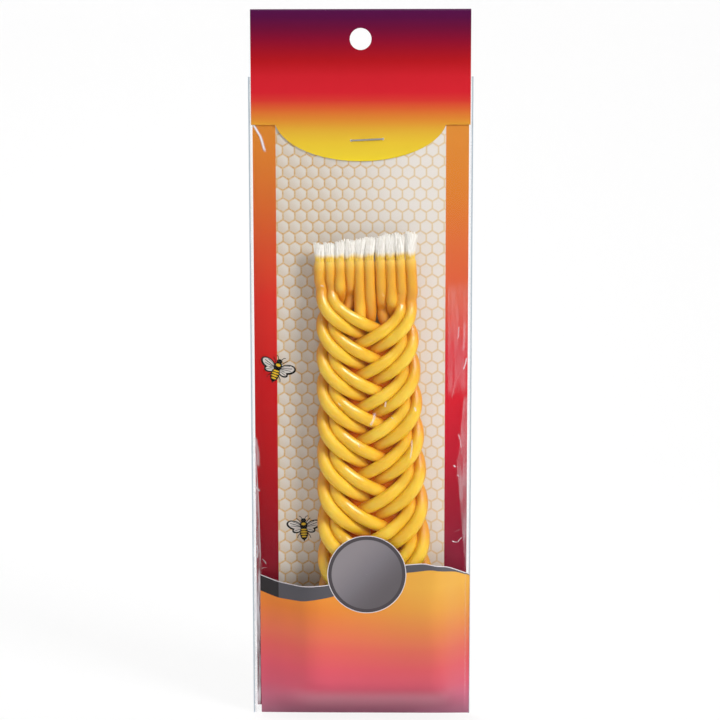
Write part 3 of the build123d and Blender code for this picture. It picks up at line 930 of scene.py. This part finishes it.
def film_patch(name, low, high, material, lift, columns=170, rows=40):
    """A printed area over the label's width, between two edges."""
    x = np.linspace(LABEL_LEFT, LABEL_RIGHT, columns)
    share = np.linspace(0, 1, rows)[:, None]
    z = low(x) * (1 - share) + high(x) * share
    on_film(name, np.broadcast_to(x, z.shape), z, grid_faces(rows, columns), material, lift)


def film_disc(name, outer, material, lift, rings=24, sides=96):
    """A disc of the badge."""
    radius = np.linspace(0.05, outer, rings)[:, None]
    x = BADGE[0] + radius * np.cos(circle(sides))
    z = BADGE[1] + radius * np.sin(circle(sides))
    on_film(name, x, z, tube_faces(rings, sides, caps=False), material, lift)


def smooth_edge(*places):
    """A smooth edge through (x, z) places, as a function that gives its heights over the width."""
    xs, zs = zip(*places)
    fine = np.linspace(xs[0], xs[-1], 400)
    width = 31
    window = np.hanning(width)
    padded = np.pad(np.interp(fine, xs, zs), width // 2, mode="reflect", reflect_type="odd")
    heights = np.convolve(padded, window / window.sum(), "valid")
    return lambda x: np.interp(x, fine, heights)


def make_label():
    """The print on the film: a panel, a grey wave and a round badge. Each layer of ink lies a little in
    front of the one below it."""
    top = smooth_edge((-39.4, -206.1), (-35.6, -207.0), (-32.1, -207.7), (-22.9, -208.2), (-12.8, -207.0),
                      (0, -203.4), (10, -200.4), (15.9, -199.1), (24.1, -198.4), (33.0, -200.6),
                      (42.3, -206.2))
    low = smooth_edge((-39.4, -212.2), (-35.6, -213.2), (-32.3, -213.9), (-22.9, -213.9), (-10.5, -211.2),
                      (0, -206.8), (10, -203.3), (17.1, -201.9), (27.0, -200.8), (36.1, -203.2),
                      (42.3, -206.5))
    white = ink("label_hairline", "dcd6da")
    film_patch("label_panel", lambda x: np.full_like(x, LABEL_FOOT), low,
               ink("label_gradient", label_colour), 0.05, rows=90)
    film_patch("label_wave", low, top, ink("label_band", band_colour), 0.05, rows=8)
    film_patch("label_wave_line", top, lambda x: top(x) + 0.35, white, 0.06, rows=3)
    film_disc("badge_halo", BADGE_HALO, white, 0.09)
    film_disc("badge_rim", BADGE_RIM, ink("badge_ring", "4a4549"), 0.12)
    film_disc("badge_disc", BADGE_FACE, ink("badge_face", badge_colour), 0.15)


# The bees, printed on the insert. A bee is drawn upright, about 8 units high, and is then turned and
# sized. Its layers of ink lie a small step apart.

INK_STEP = 0.02


def oval(middle, half_width, half_height, turn=0.0, count=28):
    c, s = math.cos(turn), math.sin(turn)
    outline = []
    for angle in circle(count):
        x, z = half_width * math.cos(angle), half_height * math.sin(angle)
        outline.append((middle[0] + x * c - z * s, middle[1] + x * s + z * c))
    return outline


def stroke(places, width):
    """A thin line through (x, z) places, as quads."""
    quads = []
    for (x, z), (x_end, z_end) in zip(places, places[1:]):
        run = math.hypot(x_end - x, z_end - z)
        a, b = (z - z_end) / run * width / 2, (x_end - x) / run * width / 2
        quads.append([(x + a, z + b), (x_end + a, z_end + b), (x_end - a, z_end - b), (x - a, z - b)])
    return quads


def flat_piece(name, outlines, material, depth):
    """Printed shapes on the insert card, as flat (x, z) outlines."""
    points, faces = [], []
    for outline in outlines:
        faces.append(tuple(range(len(points), len(points) + len(outline))))
        points += [(x, depth, z) for x, z in outline]
    new_object(name, points, faces, material, "pack", "insert_print", smooth=False)


def make_bee(number, middle, size, turn, black, yellow, pale):
    """A small printed bee from above: striped body, two pairs of wings, feelers and legs."""
    c, s = math.cos(turn), math.sin(turn)
    edges, wings, veins, limbs = [], [], [], []
    for h in (-1, 1):
        edges += [oval((h * 3.0, 0.8), 2.5, 1.5, h * 0.35), oval((h * 2.1, -0.7), 1.6, 1.0, -h * 0.25)]
        wings += [oval((h * 2.9, 0.9), 2.0, 1.05, h * 0.35), oval((h * 2.0, -0.6), 1.2, 0.65, -h * 0.25)]
        veins += stroke([(h * 0.8, 0.4), (h * 2.6, 1.0), (h * 4.2, 1.5)], 0.2)
        veins += stroke([(h * 0.8, 0.3), (h * 2.6, 0.5), (h * 4.0, 0.7)], 0.16)
        veins += stroke([(h * 0.7, 0.6), (h * 2.0, 1.4), (h * 3.4, 2.0)], 0.14)
        veins += stroke([(h * 0.9, -0.4), (h * 2.0, -0.7), (h * 3.0, -1.0)], 0.16)
        limbs += stroke([(h * 0.3, 2.7), (h * 0.9, 3.6), (h * 1.4, 3.8)], 0.2)
        limbs += stroke([(h * 0.8, 1.6), (h * 1.7, 2.7), (h * 2.2, 3.1)], 0.22)
        limbs += stroke([(h * 0.9, -1.4), (h * 1.9, -2.6), (h * 2.1, -3.3)], 0.22)
    body = [oval((0, 2.3), 0.85, 0.7), oval((0, 0.9), 1.2, 1.15), oval((0, -1.7), 1.3, 2.2)]
    sting = [(-0.45, -3.5), (0.45, -3.5), (0, -4.5)]
    stripes = [oval((0, 1.2), 0.7, 0.42)]
    for z, half_width in ((-0.6, 0.95), (-1.35, 1.1), (-2.1, 1.0), (-2.85, 0.75)):
        stripes.append(oval((0, z), half_width, 0.24))
    layers = (
        ("wing_edges", edges, black),
        ("wings", wings, pale),
        ("body", veins + body + [sting] + limbs, black),
        ("stripes", stripes, yellow),
    )
    turned = size * np.array([[c, s], [-s, c]])
    for level, (part, shapes, material) in enumerate(layers, start=1):
        placed = [np.array(shape) @ turned + middle for shape in shapes]
        flat_piece(f"bee_{number}_{part}", placed, material, CARD_FRONT - INK_STEP * level)


# The part


def dress_solids(film):
    """The solids that are shown as they are."""
    finishes = {
        "header_card": header_print(),
        "insert_card": insert_print(),
        "bag_back": film,
        "staple": staple_steel(),
    }
    for node, material in finishes.items():
        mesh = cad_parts[node].data
        mesh.materials.clear()
        mesh.materials.append(material)


def make_bees():
    black = ink("bee_black", "0c0906", coat=0.0)
    yellow = ink("bee_yellow", "e6bc24", coat=0.0)
    pale = ink("bee_wing", "dcd6d0", coat=0.0)
    make_bee(1, (-32.4, -125.2), 1.32, -0.35, black, yellow, pale)
    make_bee(2, (-22.4, -187.6), 1.24, 0.04, black, yellow, pale)


wax = beeswax()
film = clear_film()
dress_solids(film)
make_wicks(make_tapers(wax), cotton())
make_web(wax)
make_film(film)
make_label()
make_bees()


# Stage, light and camera, in metres

FLOOR = (BAG_FOOT - 0.2) * MM
MIDDLE = (0.0, 0.0, -0.12)
WORLD_LIGHT = 0.27


def seen_straight(tree):
    """1 for rays from the camera, a mirroring surface or a clear one, and 0 for light that falls."""
    path = add(tree, "LightPath", give=None).outputs
    mirrored = add(tree, "Math", [path["Is Glossy Ray"], path["Is Transmission Ray"]], "MAXIMUM")
    return add(tree, "Math", [path["Is Camera Ray"], mirrored], "MAXIMUM")


def stage_paper():
    """Dull white studio paper, shown nearly white while it keeps the object's shadow."""
    material, tree, _ = new_finish("stage_paper")
    paper = add(tree, "BsdfPrincipled", {
        "Base Color": linear("f6f6f6"),
        "Roughness": 0.9,
        "Specular IOR Level": 0.2,
    })
    white = add(tree, "Emission", [linear("ffffff"), 1.0])
    seen = add(tree, "Math", [seen_straight(tree), 0.82], "MULTIPLY")
    add(tree, "OutputMaterial", [add(tree, "MixShader", [seen, paper, white])], give=None)
    return material


def make_stage():
    """A pale floor, which curves up into a pale backdrop."""
    half_width, front, back, bend, height, bend_steps = 0.6, -0.6, 0.5, 0.3, 0.8, 12
    profile = [(front, FLOOR)]
    for i in range(bend_steps + 1):
        angle = math.pi / 2 * i / bend_steps
        profile.append((back + bend * math.sin(angle), FLOOR + bend * (1 - math.cos(angle))))
    profile.append((back + bend, height))
    points = [(x, y, z) for y, z in profile for x in (-half_width, half_width)]
    mesh = bpy.data.meshes.new("floor")
    mesh.from_pydata(points, [], grid_faces(len(profile), 2))
    mesh.shade_smooth()
    mesh.materials.append(stage_paper())
    floor = bpy.data.objects.new("floor", mesh)
    bpy.context.scene.collection.objects.link(floor)


def area_light(name, place, size, power, shine=False):
    """A soft panel that lights but isn't mirrored, or with shine one that is only mirrored."""
    lamp = bpy.data.lights.new(name, "AREA")
    lamp.shape = "RECTANGLE"
    lamp.size, lamp.size_y = size
    lamp.energy = power
    made = bpy.data.objects.new(name, lamp)
    bpy.context.scene.collection.objects.link(made)
    made.location = place
    made.rotation_euler = (Vector(MIDDLE) - Vector(place)).to_track_quat("-Z", "Y").to_euler()
    made.visible_glossy = shine
    made.visible_diffuse = not shine


def make_lights():
    """A bright key from the upper right front, little fill, and a weak world that is seen white."""
    area_light("key", (0.95, -0.85, 0.6), (0.45, 0.45), 15)
    area_light("fill", (-0.7, -1.0, 0.2), (0.7, 0.9), 0.8)
    area_light("top", (0.0, -0.35, 0.95), (0.8, 0.5), 2)
    area_light("behind", (-0.35, 0.6, 0.6), (0.5, 0.5), 5)
    area_light("key_gleam", (0.36, -0.46, 0.92), (0.5, 0.2), 19, shine=True)
    world = bpy.data.worlds.new("studio")
    bpy.context.scene.world = world
    world.use_nodes = True
    tree = world.node_tree
    tree.nodes.clear()
    strength = add(tree, "Math", [seen_straight(tree), 1 - WORLD_LIGHT, WORLD_LIGHT], "MULTIPLY_ADD")
    add(tree, "OutputWorld", [add(tree, "Background", [linear("ffffff"), strength])], give=None)


def make_camera():
    """At the photograph's viewing angle: a long lens a little above the pack's middle."""
    elevation, yaw, roll = math.radians(7.55), math.radians(-0.8), math.radians(-0.08)
    aim, distance = Vector((-0.0004, 0.0, -0.12175)), 0.7
    level = Vector((math.sin(yaw), math.cos(yaw), 0.0))
    ahead = level * math.cos(elevation) - Vector((0.0, 0.0, math.sin(elevation)))
    right = ahead.cross(Vector((0.0, 0.0, 1.0))).normalized()
    up = right.cross(ahead)
    rolled_right = right * math.cos(roll) + up * math.sin(roll)
    rolled_up = up * math.cos(roll) - right * math.sin(roll)
    lens = bpy.data.cameras.new("camera")
    lens.sensor_width = 36.0
    lens.lens = 90.96
    made = bpy.data.objects.new("camera", lens)
    bpy.context.scene.collection.objects.link(made)
    turn = Matrix((rolled_right, rolled_up, -ahead)).transposed().to_4x4()
    made.matrix_world = Matrix.Translation(aim - ahead * distance) @ turn
    bpy.context.scene.camera = made


make_stage()
make_lights()
make_camera()
bpy.context.scene.view_settings.view_transform = "Standard"
